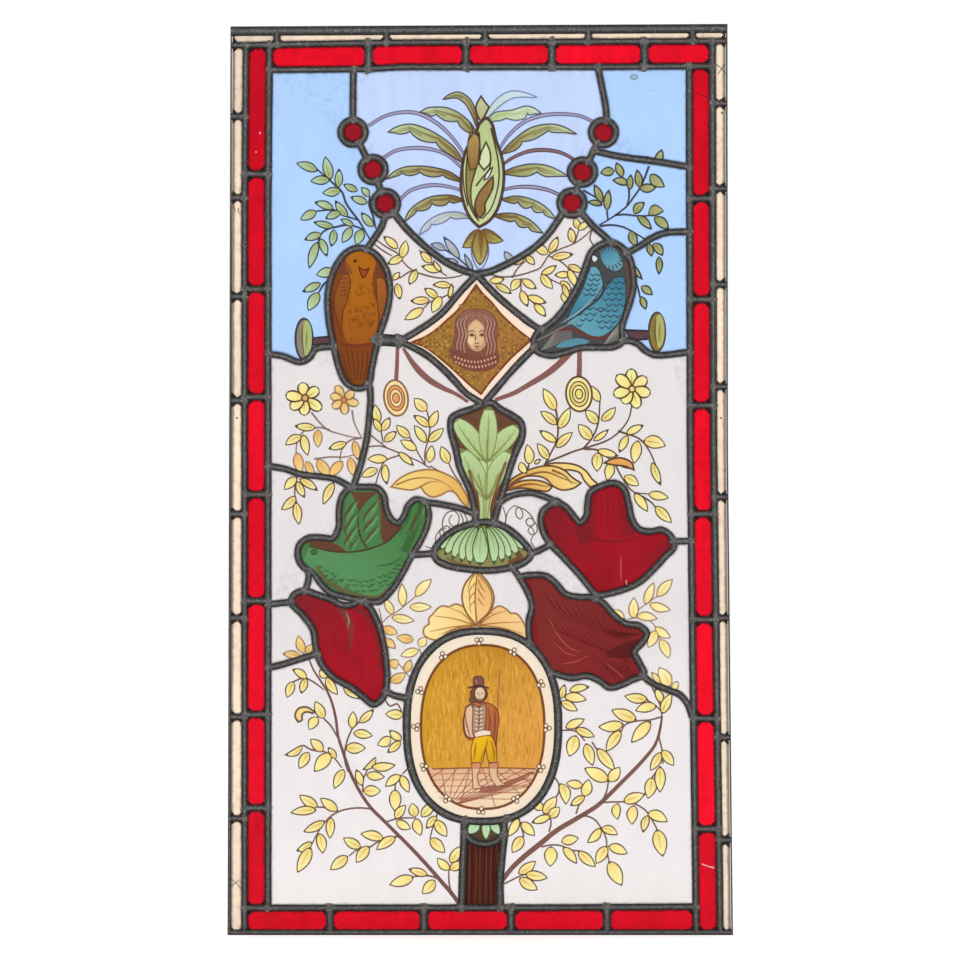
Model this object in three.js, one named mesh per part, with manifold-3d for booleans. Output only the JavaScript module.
// Leaded stained glass panel: panes of painted glass held in one soldered net of lead cames.
// Millimetres. The panel is drawn flat, x to the right and y up from the middle of its bottom edge,
// with its front towards +z, and the group that holds it stands it up with the front towards -Y.
import * as THREE from 'three';
import { mergeVertices } from 'three/addons/utils/BufferGeometryUtils.js';
import Module from 'manifold-3d';

const wasm = await Module();
wasm.setup();

// Section of the lead: two flanges joined by a heart, with the glass held between the flanges.
const CAME_DEPTH = 6;
const GLASS_THICKNESS = 3;
const GLASS_CLEARANCE = 0.3;
const EDGE_CLEARANCE = 0.6;
const HEART_THICKNESS = 1.4;

// Outline of the panel, slightly out of square: its right side leans out below the middle.
const BOTTOM_LEFT = [-252.5, 0];
const BOTTOM_RIGHT = [253, 0];
const BEND_RIGHT = [248, 485];
const TOP_RIGHT = [247.5, 911];
const TOP_LEFT = [-249.5, 908.5];
const OUTLINE = [BOTTOM_LEFT, BOTTOM_RIGHT, BEND_RIGHT, TOP_RIGHT, TOP_LEFT];

// Width of the edge lead that shows at each corner of the outline, sideways and upwards.
const EDGE_FLANGE = [[3.5, 5.5], [-1.5, 5.5], [-1.5, 0], [-1.5, -9], [1.3, -9.5]];
const EDGE_HEART = [[0.7, 1.2], [-0.7, 1.2], [-0.7, 0], [-0.7, -4], [0.7, -4]];

// Widths of the cames as they show from the front.
const CREAM_CAME = 6;
const BORDER_CAME = 7;
const TOP_CAME = 6;
const CROSS_CAME = 6.5;
const WIDE_CROSS_CAME = 8.5;
const FIELD_CAME = 6.5;
const ROUNDEL_CAME = 6.6;
const OVAL_CAME = 8;
const TRUNK_CAME = 7.5;
const PERCH_CAME = 12;

// Round panes: the six roundels on the two strings, and the oval medallion, whose outline is a
// little squarer than an ellipse.
const ROUNDEL_RADIUS = 12.3;
const ROUNDELS_LEFT = [[-127, 802.8], [-107, 765.5], [-94.5, 731.5]];
const ROUNDELS_RIGHT = [[123.5, 802.5], [102.5, 763], [92, 732]];
const OVAL_CENTRE = [2.5, 208.7];
const OVAL_RADII = [75.8, 95.2];
const OVAL_SQUARENESS = 2.4;

// How closely the straight-sided solids follow the curves, and the spacing of the samples.
const FLANGE_TOLERANCE = 1.8;
const HEART_TOLERANCE = 2.8;
const SPLINE_STEPS = 6;
const ROUND_STEPS = 72;
const SNAP_REACH = 7;
const SHORTEST_SIDE = 4;
const STRAIGHT_TOLERANCE = 0.1;
const SMALLEST_CELL = 20;
const MITRE_LIMIT = 0.5;

// A line of lead: samples along its middle, its width, and whether it closes on itself.
function came(width, points, closed = false) {
  const samples = points.map(([x, y]) => new THREE.Vector2(x, y));
  return { width, closed, samples, kept: new Set(points.keys()) };
}

// A curved line of lead through a few points, in runs that meet at sharp corners.
function curvedCame(width, runs, closed = false) {
  const smoothLoop = closed && runs.length === 1;
  const points = [];
  for (const run of runs) {
    const knots = run.map(([x, y]) => new THREE.Vector3(x, y, 0));
    const curve = new THREE.CatmullRomCurve3(knots, smoothLoop, 'centripetal');
    const sampled = curve.getPoints(SPLINE_STEPS * (smoothLoop ? knots.length : knots.length - 1));
    sampled.pop();
    points.push(...sampled.map(({ x, y }) => [x, y]));
  }
  if (!closed) points.push(runs.at(-1).at(-1));
  return Object.assign(came(width, points, closed), { curved: true, kept: new Set() });
}

// A closed line of lead round a centre, an ellipse where squareness is 2.
function roundCame(width, [centreX, centreY], [radiusX, radiusY], squareness = 2) {
  const points = [];
  for (let step = 0; step < ROUND_STEPS; step += 1) {
    const angle = (2 * Math.PI * step) / ROUND_STEPS;
    const bulge = (value) => Math.sign(value) * Math.abs(value) ** (2 / squareness);
    points.push([centreX + radiusX * bulge(Math.cos(angle)), centreY + radiusY * bulge(Math.sin(angle))]);
  }
  return Object.assign(came(width, points, true), { curved: true, kept: new Set() });
}

// Long leads of the border.
const CREAM_LINE_LEFT = [[-234, 889.8], [-235.5, 740], [-235.5, 0.6]];
const FIELD_LINE_LEFT = [[-210.5, 890], [-212, 740], [-212, 27.3]];
const FIELD_LINE_RIGHT = [[209.3, 869], [210.3, 485], [216.2, 0.6]];
const CREAM_LINE_RIGHT = [[232.3, 893.8], [233.7, 485], [240.2, 0.6]];
const CREAM_LINE_TOP = [[-249, 889.6], [-80, 892.5], [247, 894]];
const FIELD_LINE_TOP = [[-211, 865], [-112, 866], [-80, 868], [120, 868], [232.6, 869]];
const FIELD_LINE_BOTTOM = [[-235.5, 27], [60, 27.3], [216, 28.3]];

// Heights of the short cross leads in the side columns, and their places in the rows.
const RED_CROSSES_LEFT = [761, 646, 538, 440.5, 334, 220.5, 127];
const RED_CROSSES_RIGHT = [736.5, 635.5, 529.5, 421, 315.5, 216.5, 106];
const CREAM_CROSSES_LEFT = [818.5, 737.5, 638.5, 534.5, 421, 317, 218, 116.5];
const CREAM_CROSSES_RIGHT = [831.5, 746.5, 650.5, 548.5, 438, 317, 197.5, 95];
const CREAM_CROSSES_TOP = [-203, -93.5, 5, 108.5, 212.5];
const RED_CROSSES_TOP = [-111.5, -14, 72, 164.5];
const RED_CROSSES_BOTTOM = [-150, -56, 31, 127];

// Place on a line of points where it passes a height (axis 1) or a distance across (axis 0).
function crossing(line, value, axis) {
  const other = 1 - axis;
  for (let i = 1; i < line.length; i += 1) {
    const [from, to] = [line[i - 1], line[i]];
    const share = (value - from[axis]) / (to[axis] - from[axis]);
    if (share >= 0 && share <= 1) return from[other] + share * (to[other] - from[other]);
  }
  throw new Error(`no crossing at ${value}`);
}

// A cross lead of a side column, level, between two upright lines.
function rung(width, height, left, right) {
  return came(width, [[crossing(left, height, 1), height], [crossing(right, height, 1), height]]);
}

// A cross lead of a row, upright, between two level lines.
function post(width, across, low, high) {
  return came(width, [[across, crossing(low, across, 0)], [across, crossing(high, across, 0)]]);
}

// Middle of the edge lead's heart along each side, where the outermost cross leads end.
const LEFT_SIDE = [TOP_LEFT, BOTTOM_LEFT];
const RIGHT_SIDE = [TOP_RIGHT, BEND_RIGHT, BOTTOM_RIGHT];
const TOP_SIDE = [[TOP_LEFT[0], TOP_LEFT[1] - 3], [TOP_RIGHT[0], TOP_RIGHT[1] - 3]];
const BOTTOM_SIDE = [[BOTTOM_LEFT[0], 1], [BOTTOM_RIGHT[0], 1]];

const borderCames = [
  came(CREAM_CAME, CREAM_LINE_LEFT),
  came(BORDER_CAME, FIELD_LINE_LEFT),
  came(BORDER_CAME, FIELD_LINE_RIGHT),
  came(BORDER_CAME, CREAM_LINE_RIGHT),
  came(CREAM_CAME, CREAM_LINE_TOP),
  came(TOP_CAME, FIELD_LINE_TOP),
  came(CROSS_CAME, FIELD_LINE_BOTTOM),
  ...RED_CROSSES_LEFT.map((height) => rung(CROSS_CAME, height, CREAM_LINE_LEFT, FIELD_LINE_LEFT)),
  ...RED_CROSSES_RIGHT.map((height) => rung(CROSS_CAME, height, FIELD_LINE_RIGHT, CREAM_LINE_RIGHT)),
];

// Cross leads over glass that is one solid behind them: both flanges pass it and the heart is left out.
const overlaidCames = [
  ...CREAM_CROSSES_LEFT.map((height) => rung(CROSS_CAME, height, LEFT_SIDE, CREAM_LINE_LEFT)),
  ...CREAM_CROSSES_RIGHT.map((height) => rung(CREAM_CAME, height, CREAM_LINE_RIGHT, RIGHT_SIDE)),
  ...CREAM_CROSSES_TOP.map((across) => post(CROSS_CAME, across, CREAM_LINE_TOP, TOP_SIDE)),
  ...RED_CROSSES_TOP.map((across) => post(WIDE_CROSS_CAME, across, FIELD_LINE_TOP, CREAM_LINE_TOP)),
  ...RED_CROSSES_BOTTOM.map((across) => post(WIDE_CROSS_CAME, across, BOTTOM_SIDE, FIELD_LINE_BOTTOM)),
];

// A short lead from one roundel's ring to the next.
function link([fromX, fromY], [toX, toY]) {
  const reach = ROUNDEL_RADIUS / Math.hypot(toX - fromX, toY - fromY);
  const start = [fromX + reach * (toX - fromX), fromY + reach * (toY - fromY)];
  const end = [toX - reach * (toX - fromX), toY - reach * (toY - fromY)];
  return came(FIELD_CAME, [start, end]);
}

const roundelCames = [ROUNDELS_LEFT, ROUNDELS_RIGHT].flatMap((string) => [
  ...string.map((centre) => roundCame(ROUNDEL_CAME, centre, [ROUNDEL_RADIUS, ROUNDEL_RADIUS])),
  link(string[0], string[1]),
  link(string[1], string[2]),
]);

// Leads of the sky: the two strings, the shield's lower edge, the horizon and the branches of lead.
const SHIELD_TIP = [-3, 660.5];
const skyCames = [
  curvedCame(FIELD_CAME, [[[-126.5, 866], [-127, 840], [-127, 815]]]),
  curvedCame(FIELD_CAME, [[[118, 868], [122, 848], [125.5, 829], [127, 814]]]),
  curvedCame(BORDER_CAME, [
    [[-86, 722], [-75, 708], [-60, 693], [-45, 680.5], [-30, 670.5], [-15, 664], SHIELD_TIP],
    [SHIELD_TIP, [10, 663.5], [25, 670], [42, 679], [57, 689.5], [68, 700.5], [77, 713], [83, 723]],
  ]),
  curvedCame(FIELD_CAME, [[[115, 784], [140, 778.5], [180, 773], [209, 768]]]),
  curvedCame(FIELD_CAME, [[[149, 683], [160, 689], [172, 697], [185, 702], [209, 703.5]]]),
  curvedCame(FIELD_CAME, [[[144, 594], [151, 594], [158, 591], [166, 584], [176, 580], [210, 583]]]),
  curvedCame(FIELD_CAME, [[[-212, 581], [-198, 579], [-180, 573], [-171, 577], [-164, 586], [-146, 589]]]),
  curvedCame(FIELD_CAME, [[[-95, 720], [-98, 709], [-104, 699], [-111, 689], [-114, 685]]]),
  curvedCame(FIELD_CAME, [[[100.5, 723], [112, 710], [122, 701], [131, 693]]]),
];

// The two birds on the strings, the orange one at the left and the blue one at the right.
const birdCamesHigh = [
  curvedCame(FIELD_CAME, [[
    [-122, 687], [-134, 682], [-144, 669], [-150, 653], [-152.5, 635], [-151, 613], [-147, 592],
    [-142, 570], [-136, 555], [-128, 548], [-118, 547], [-111, 552], [-108.5, 565], [-105, 582],
    [-100, 602], [-94, 620], [-90.5, 637], [-90.5, 652], [-95, 668], [-106, 682],
  ]], true),
  curvedCame(FIELD_CAME, [[
    [130, 693], [120, 690], [112, 684], [107, 673], [101, 656], [91, 637], [81, 622], [70, 611],
    [58, 603], [53.5, 594], [57, 584], [70, 579.5], [84, 582], [100, 587], [118, 587.5], [133, 588],
    [142, 593], [142, 608], [148, 627], [153, 645], [153, 662], [149, 678], [140, 689],
  ]], true),
];

// The diamond with hollow sides, the perch lead at its left tip, and the palm leaf's urn below it.
const DIAMOND_LEFT = [-80, 594];
const DIAMOND_BOTTOM = [3, 531];
const middleCames = [
  curvedCame(BORDER_CAME, [
    [[61, 605], [51, 611], [38, 621], [26, 631], [12, 644], SHIELD_TIP],
    [SHIELD_TIP, [-18, 645], [-40, 620], [-65, 602.5], DIAMOND_LEFT],
    [DIAMOND_LEFT, [-55, 581], [-40, 569], [-26, 555], [-14, 542], DIAMOND_BOTTOM],
    [DIAMOND_BOTTOM, [17, 547], [27, 559], [39, 572], [55, 588]],
  ]),
  came(PERCH_CAME, [[-101, 594], [-79, 594]]),
  curvedCame(BORDER_CAME, [
    [DIAMOND_BOTTOM, [-8, 526], [-20, 522], [-28, 517], [-29.5, 507], [-24, 485], [-20, 467],
      [-10, 444], [-6, 427], [-4, 412]],
  ]),
  curvedCame(BORDER_CAME, [
    [DIAMOND_BOTTOM, [12, 532], [20, 526], [31, 520], [41, 512], [42, 498], [37, 486], [31, 470],
      [22, 440], [17, 425], [14, 412]],
  ]),
  curvedCame(BORDER_CAME, [[
    [-46, 383], [-40, 393], [-30, 402], [-18, 408], [-4, 412], [5, 413], [14, 412], [28, 406],
    [41, 395], [51, 381], [44, 372.5], [32, 368], [20, 365.5], [3, 364.5], [-14, 366], [-32, 369.5],
    [-43, 375],
  ]], true),
  curvedCame(FIELD_CAME, [[[-6, 421.5], [-18, 426], [-38, 430.5], [-56, 433]]]),
  curvedCame(FIELD_CAME, [[[19, 432], [28, 438], [40, 441.5], [52, 442], [63, 439], [75, 434]]]),
  came(FIELD_CAME, [[-67, 379], [-46, 381]]),
  curvedCame(FIELD_CAME, [[[50, 381], [60, 385], [71, 391]]]),
  came(FIELD_CAME, [[32, 368], [39, 358.5]]),
  curvedCame(FIELD_CAME, [[
    [-110, 549], [-109.5, 535], [-111, 515], [-113.5, 495], [-118, 475], [-122, 462], [-127, 447],
  ]]),
  curvedCame(FIELD_CAME, [[[-212, 469], [-195, 466], [-180, 461], [-160, 458.5], [-145, 456], [-130, 448]]]),
];

// The two birds at the left, green above red, and the two red ones at the right.
const birdCamesLow = [
  curvedCame(FIELD_CAME, [[
    [-130, 447], [-115, 448], [-103, 447], [-96, 439], [-94, 427], [-89, 416], [-82, 412],
    [-76, 419], [-72, 429], [-64, 435.5], [-55, 433], [-51.5, 424], [-53, 409], [-60, 393],
    [-68, 380], [-78, 361], [-89, 344], [-101, 333.5], [-115, 334], [-135, 338], [-149, 342],
    [-159, 351], [-167, 362], [-177, 368], [-182, 378], [-181, 389], [-173, 396.5], [-160, 397.5],
    [-147, 397], [-141.5, 408], [-141, 425], [-138, 438],
  ]], true),
  curvedCame(FIELD_CAME, [[
    [-189, 333], [-185, 341], [-176, 344], [-162, 340], [-148, 335], [-138, 330], [-130, 330],
    [-119, 334], [-110, 327], [-103, 314], [-97, 295], [-94, 275], [-93, 253], [-96, 239],
    [-106, 230.5], [-117, 238], [-130, 248], [-146, 257], [-158, 270], [-164, 286], [-167, 305],
    [-177, 319.5],
  ]], true),
  curvedCame(FIELD_CAME, [
    [[77, 434], [87, 427], [94, 418.5], [100, 412.5], [106, 418.5], [107.5, 430], [110, 442],
      [121, 449], [135, 452], [144, 446], [149, 430], [152, 416], [159, 406], [170, 403.5],
      [182, 405], [191, 398.5], [194, 388], [185, 378], [172, 364], [161, 354], [148, 347],
      [132, 342], [116, 339]],
    [[116, 339], [102, 357], [83, 378], [68, 394], [61, 411], [63, 424], [77, 434]],
  ], true),
  curvedCame(FIELD_CAME, [
    [[50, 291], [48.5, 303], [49, 315], [52, 329], [47, 344], [39, 358.5]],
    [[39, 358.5], [52, 360], [66, 359], [76, 351.5], [85, 341.5], [98, 338], [112, 337.5],
      [123, 332], [133, 321], [146, 311.5], [160, 309], [167, 301], [162, 292], [154.5, 283],
      [159, 273], [164, 261], [152, 255], [140, 249.5], [129, 247.5], [119, 254.5], [107, 259],
      [92, 257], [72, 262]],
  ]),
  came(FIELD_CAME, [[117, 339], [115, 336.5]]),
];

// Leads that tie the lower birds and the oval to the border, and the trunk below the oval.
const lowerCames = [
  roundCame(OVAL_CAME, OVAL_CENTRE, OVAL_RADII, OVAL_SQUARENESS),
  came(FIELD_CAME, [[193, 394], [211, 394]]),
  curvedCame(FIELD_CAME, [[[163, 259], [172, 252], [190, 244.5], [200, 240], [208, 230], [212.5, 217]]]),
  curvedCame(FIELD_CAME, [[[-212, 267], [-196, 271], [-180, 276], [-164.5, 281]]]),
  curvedCame(FIELD_CAME, [[[-94, 244], [-87, 240], [-73, 236.5]]]),
  came(FIELD_CAME, [[-212, 330.5], [-189, 332]]),
  curvedCame(FIELD_CAME, [[[-171, 364], [-172, 353], [-175, 343.5]]]),
  curvedCame(TRUNK_CAME, [[[-16, 116], [-16, 100], [-17, 75], [-18.5, 27.3]]]),
  curvedCame(TRUNK_CAME, [[[24, 116], [24, 98], [21.5, 72], [20, 50], [20.5, 27.3]]]),
  curvedCame(FIELD_CAME, [[[-16, 104], [-9, 95], [3, 91], [15, 93], [24, 102]]]),
];

const heartedCames = [
  ...borderCames, ...roundelCames, ...skyCames, ...birdCamesHigh, ...middleCames, ...birdCamesLow,
  ...lowerCames,
];

// Nearest place to a point on a line of lead: on a curve a sample, on straight lead any place.
function nearest(point, { samples, closed, curved }) {
  let best = { distance: Infinity };
  const offer = (place, index) => {
    const distance = place.distanceTo(point);
    if (distance < best.distance) best = { distance, place, index };
  };
  if (curved) samples.forEach((sample, index) => offer(sample, index));
  if (!curved && !closed) {
    for (let i = 1; i < samples.length; i += 1) {
      const run = samples[i].clone().sub(samples[i - 1]);
      const share = THREE.MathUtils.clamp(point.clone().sub(samples[i - 1]).dot(run) / run.lengthSq(), 0, 1);
      offer(samples[i - 1].clone().addScaledVector(run, share));
    }
  }
  return best;
}

// Ends a lead on the middle line of the lead that it meets, and keeps a corner there on both.
function joinEnd(line, index, hosts) {
  const end = line.samples[index];
  const meetings = hosts.filter((host) => host !== line).map((host) => ({ host, ...nearest(end, host) }));
  const meeting = meetings.reduce((best, next) => (next.distance < best.distance ? next : best));
  if (meeting.distance > SNAP_REACH) return;
  end.copy(meeting.place);
  if (meeting.index !== undefined) meeting.host.kept.add(meeting.index);
}

for (const line of heartedCames.filter(({ closed }) => !closed)) {
  joinEnd(line, 0, heartedCames);
  joinEnd(line, line.samples.length - 1, heartedCames);
}

// Drops the samples that a straight side replaces within the tolerance, between two kept ones.
function thin(samples, from, to, tolerance, chosen) {
  const place = (index) => samples[index % samples.length];
  const run = place(to).clone().sub(place(from));
  let farthest = { distance: tolerance };
  for (let i = from + 1; i < to; i += 1) {
    const offset = place(i).clone().sub(place(from));
    const share = THREE.MathUtils.clamp(offset.dot(run) / Math.max(run.lengthSq(), 1e-9), 0, 1);
    const distance = offset.addScaledVector(run, -share).length();
    if (distance > farthest.distance) farthest = { distance, index: i };
  }
  if (farthest.index === undefined) return;
  thin(samples, from, farthest.index, tolerance, chosen);
  chosen.add(farthest.index);
  thin(samples, farthest.index, to, tolerance, chosen);
}

// Corner points of the straight-sided line that stands for a curved one, none of them crowded.
function corners({ samples, closed, kept }, tolerance) {
  const ends = closed ? [] : [0, samples.length - 1];
  const fixed = new Set([...ends, ...kept]);
  if (fixed.size === 0) fixed.add(0);
  const anchors = [...fixed].sort((a, b) => a - b);
  if (closed) anchors.push(anchors[0] + samples.length);
  const chosen = new Set(anchors);
  for (let i = 1; i < anchors.length; i += 1) thin(samples, anchors[i - 1], anchors[i], tolerance, chosen);
  const place = (index) => samples[index % samples.length];
  const ordered = [...chosen].sort((a, b) => a - b);
  const spaced = ordered.filter((index, i) => {
    const neighbours = [ordered[i - 1], ordered[i + 1]].filter((near) => near !== undefined);
    const crowded = neighbours.some((near) => place(near).distanceTo(place(index)) < SHORTEST_SIDE);
    return anchors.includes(index) || !crowded;
  });
  if (closed) spaced.pop();
  return spaced.map(place);
}

// A closed triangle geometry as a solid for cutting and joining, and a solid as a geometry again.
function toSolid(geometry) {
  geometry.deleteAttribute('normal');
  geometry.deleteAttribute('uv');
  const merged = mergeVertices(geometry, 1e-5);
  const vertProperties = new Float32Array(merged.attributes.position.array);
  const triVerts = new Uint32Array(merged.index.array);
  return new wasm.Manifold(new wasm.Mesh({ numProp: 3, vertProperties, triVerts }));
}

function toGeometry(solid) {
  const { vertProperties, triVerts } = solid.getMesh();
  const geometry = new THREE.BufferGeometry();
  geometry.setAttribute('position', new THREE.BufferAttribute(vertProperties, 3));
  geometry.setIndex([...triVerts]);
  const flat = geometry.toNonIndexed();
  flat.computeVertexNormals();
  return flat;
}

// A flat plate of the given outline and holes, centred on the middle plane of the panel.
function plate(outline, thickness, holes = []) {
  const shape = new THREE.Shape(outline);
  shape.holes = holes.map((hole) => new THREE.Path(hole));
  const geometry = new THREE.ExtrudeGeometry(shape, { depth: thickness, bevelEnabled: false });
  return geometry.translate(0, 0, -thickness / 2);
}

// The two side points of a strip at each corner of its middle line, mitred where it bends.
function mitres(points, closed, width) {
  const count = points.length;
  return points.map((point, i) => {
    const before = closed ? points[(i + count - 1) % count] : points[Math.max(i - 1, 0)];
    const after = closed ? points[(i + 1) % count] : points[Math.min(i + 1, count - 1)];
    const arriving = point.clone().sub(before).normalize();
    const leaving = after.clone().sub(point).normalize();
    const along = arriving.clone().add(leaving).normalize();
    const bend = Math.max(along.dot(i < count - 1 || closed ? leaving : arriving), MITRE_LIMIT);
    const aside = new THREE.Vector2(-along.y, along.x).multiplyScalar(width / 2 / bend);
    return [point.clone().add(aside), point.clone().sub(aside)];
  });
}

// A strip of the given width along a line of corners, a solid of blocks joined end to end.
function strip(points, closed, width) {
  const sides = mitres(points, closed, width);
  let solid = null;
  for (let i = closed ? 0 : 1; i < sides.length; i += 1) {
    const [leftA, rightA] = sides[(i + sides.length - 1) % sides.length];
    const [leftB, rightB] = sides[i];
    const block = toSolid(plate([leftA, leftB, rightB, rightA], CAME_DEPTH));
    solid = solid === null ? block : solid.add(block);
  }
  return solid;
}

// The rim round the outline, as wide at each corner as the given steps inwards.
function rim(steps) {
  const outer = OUTLINE.map(([x, y]) => new THREE.Vector2(x, y));
  const inner = outer.map((corner, i) => corner.clone().add(new THREE.Vector2(...steps[i])));
  return toSolid(plate(outer, CAME_DEPTH, [inner]));
}

// All the lines of lead at one width each, with the rim.
function net(cames, widthOf, tolerance, rimSteps) {
  return cames.reduce(
    (joined, line) => joined.add(strip(corners(line, tolerance), line.closed, widthOf(line))),
    rim(rimSteps),
  );
}

// Drops the corners of a loop that lie on the straight between their neighbours.
function straighten(loop) {
  const straight = loop.filter((corner, i) => {
    const before = loop[(i + loop.length - 1) % loop.length];
    const after = loop[(i + 1) % loop.length];
    const run = after.clone().sub(before);
    return Math.abs(corner.clone().sub(before).cross(run)) > STRAIGHT_TOLERANCE * run.length();
  });
  return straight.length < loop.length ? straighten(straight) : straight;
}

// The loops that bound the front face of a flat solid: its outline turns left, its holes turn right.
function frontLoops(solid) {
  const { vertProperties, triVerts } = solid.getMesh();
  const corner = (i) => new THREE.Vector3().fromArray(vertProperties, 3 * i);
  const onFront = (i) => Math.abs(corner(i).z - CAME_DEPTH / 2) < 1e-4;
  const next = new Map();
  for (let i = 0; i < triVerts.length; i += 3) {
    const triangle = [triVerts[i], triVerts[i + 1], triVerts[i + 2]];
    if (!triangle.every(onFront)) continue;
    triangle.forEach((from, k) => {
      const to = triangle[(k + 1) % 3];
      if (next.get(to)?.has(from)) next.get(to).delete(from);
      else next.set(from, (next.get(from) ?? new Set()).add(to));
    });
  }
  const loops = [];
  for (const start of next.keys()) {
    const loop = [];
    let at = start;
    while (next.get(at)?.size) {
      const [to] = next.get(at);
      next.get(at).delete(to);
      loop.push(new THREE.Vector2(corner(at).x, corner(at).y));
      at = to;
    }
    if (loop.length > 2) loops.push(straighten(loop));
  }
  return loops.filter((loop) => Math.abs(THREE.ShapeUtils.area(loop)) > SMALLEST_CELL);
}

const isHole = (loop) => THREE.ShapeUtils.area(loop) < 0;

// Cuts the plates that fill the loops out of a solid.
function cutLoops(solid, loops, thickness) {
  return loops.reduce((rest, loop) => rest.subtract(toSolid(plate(loop, thickness))), solid);
}

// The lead net: the flanges with their openings right through, and between the flanges a wider groove
// round each opening, down to the hearts.
const flangeLoops = frontLoops(
  net([...heartedCames, ...overlaidCames], ({ width }) => width, FLANGE_TOLERANCE, EDGE_FLANGE),
);
const heartLoops = frontLoops(net(heartedCames, () => HEART_THICKNESS, HEART_TOLERANCE, EDGE_HEART));
const leadPlate = toSolid(plate(flangeLoops.find((loop) => !isHole(loop)), CAME_DEPTH));
const openLead = cutLoops(leadPlate, flangeLoops.filter(isHole), 2 * CAME_DEPTH);
const leadNet = cutLoops(openLead, heartLoops.filter(isHole), GLASS_THICKNESS + 2 * GLASS_CLEARANCE);

// The outlines of the panes, which stay clear of the hearts.
const clearOf = (value) => value + Math.sign(value) * EDGE_CLEARANCE;
const clearedSteps = EDGE_HEART.map((step) => step.map(clearOf));
const clearedHeart = HEART_THICKNESS + 2 * EDGE_CLEARANCE;
const paneNet = net(heartedCames, () => clearedHeart, HEART_TOLERANCE, clearedSteps);
const paneLoops = frontLoops(paneNet).filter(isHole);

// Whether a place lies inside a loop.
function encloses(loop, [x, y]) {
  return loop.reduce((inside, to, i) => {
    const from = loop[(i + loop.length - 1) % loop.length];
    if (from.y > y === to.y > y) return inside;
    const reached = from.x + ((to.x - from.x) * (y - from.y)) / (to.y - from.y);
    return x < reached ? !inside : inside;
  }, false);
}

// Colours of the glass and the lead.
const COLOURS = {
  lead: 0x4a4846,
  cream: 0xf0ddbe,
  red: 0xe0041c,
  deepRed: 0xa80c20,
  brownRed: 0x8c2222,
  sky: 0xb8d4fc,
  clear: 0xeeebec,
  orange: 0xb5651d,
  blue: 0x2e8fb0,
  green: 0x3f8050,
  leaf: 0xc0d8a0,
  amber: 0xd09830,
  bark: 0x4a1e14,
};

// Each pane: its name, its colour and a place on it.
const COLUMN_TOP = 850;
const COLUMN_BOTTOM = 60;
function column(name, crosses, across) {
  return [COLUMN_TOP, ...crosses].map((top, i) => {
    const bottom = crosses[i] ?? COLUMN_BOTTOM;
    return [`${name}_${i + 1}`, 'red', [across, (top + bottom) / 2]];
  });
}

const PANES = [
  ['sky_left', 'sky', [-170, 815]],
  ['sky_centre', 'sky', [0, 855]],
  ['sky_right_top', 'sky', [170, 825]],
  ['sky_right_middle', 'sky', [170, 735]],
  ['sky_right_bottom', 'sky', [190, 645]],
  ['leaf_pane_upper_left', 'clear', [-60, 645]],
  ['leaf_pane_upper_right', 'clear', [60, 655]],
  ['diamond_pane', 'amber', [0, 600]],
  ['orange_bird', 'orange', [-120, 635]],
  ['blue_bird', 'blue', [130, 645]],
  ['flower_pane_left', 'clear', [-180, 495]],
  ['spray_pane_left', 'clear', [-60, 495]],
  ['flower_pane_right', 'clear', [120, 515]],
  ['palm_leaf_pane', 'leaf', [5, 485]],
  ['petal_pane', 'leaf', [5, 385]],
  ['tendril_pane_left', 'clear', [-36, 415]],
  ['tendril_pane_right', 'clear', [50, 415]],
  ['green_bird', 'green', [-120, 375]],
  ['sprig_pane_left', 'clear', [-195, 375]],
  ['sliver_pane_left', 'clear', [-165, 348]],
  ['red_bird_left', 'deepRed', [-130, 295]],
  ['leaf_pane_left_small', 'clear', [-195, 300]],
  ['leaf_pane_lower_left', 'clear', [-140, 135]],
  ['leaf_pane_middle', 'clear', [-30, 335]],
  ['oval_medallion', 'amber', OVAL_CENTRE],
  ['red_bird_right', 'deepRed', [130, 385]],
  ['dark_red_bird', 'brownRed', [100, 295]],
  ['slip_pane_right', 'clear', [75, 365]],
  ['leaf_pane_right_middle', 'clear', [180, 335]],
  ['leaf_pane_lower_right', 'clear', [160, 85]],
  ['trunk_pane', 'bark', [2, 60]],
  ['collar_pane', 'leaf', [4, 102]],
  ...ROUNDELS_LEFT.map((centre, i) => [`roundel_left_${i + 1}`, 'deepRed', centre]),
  ...ROUNDELS_RIGHT.map((centre, i) => [`roundel_right_${i + 1}`, 'deepRed', centre]),
  ...column('red_strip_left', RED_CROSSES_LEFT, -223.7),
  ...column('red_strip_right', RED_CROSSES_RIGHT, 225),
  ['red_strips_top', 'red', [0, 880]],
  ['red_strips_bottom', 'red', [0, 15]],
  ['cream_strips_left', 'cream', [-242, 470]],
  ['cream_strips_right', 'cream', [241, 485]],
  ['cream_strips_top', 'cream', [60, 898]],
];

function mesh(name, geometry, colour, roughness, metalness) {
  const material = new THREE.MeshStandardMaterial({ color: COLOURS[colour], roughness, metalness });
  const made = new THREE.Mesh(geometry, material);
  made.name = name;
  return made;
}

const panel = new THREE.Group();
panel.rotation.x = Math.PI / 2;

panel.add(mesh('lead_net', toGeometry(leadNet), 'lead', 0.55, 0.6));

for (const [name, colour, place] of PANES) {
  const found = paneLoops.filter((loop) => encloses(loop, place));
  if (found.length !== 1) throw new Error(`${name} lies in ${found.length} panes`);
  panel.add(mesh(name, plate(found[0], GLASS_THICKNESS), colour, 0.08, 0));
}
if (paneLoops.length !== PANES.length) throw new Error(`${paneLoops.length} panes for ${PANES.length} names`);

const object = new THREE.Group();
object.add(panel);
export default object;
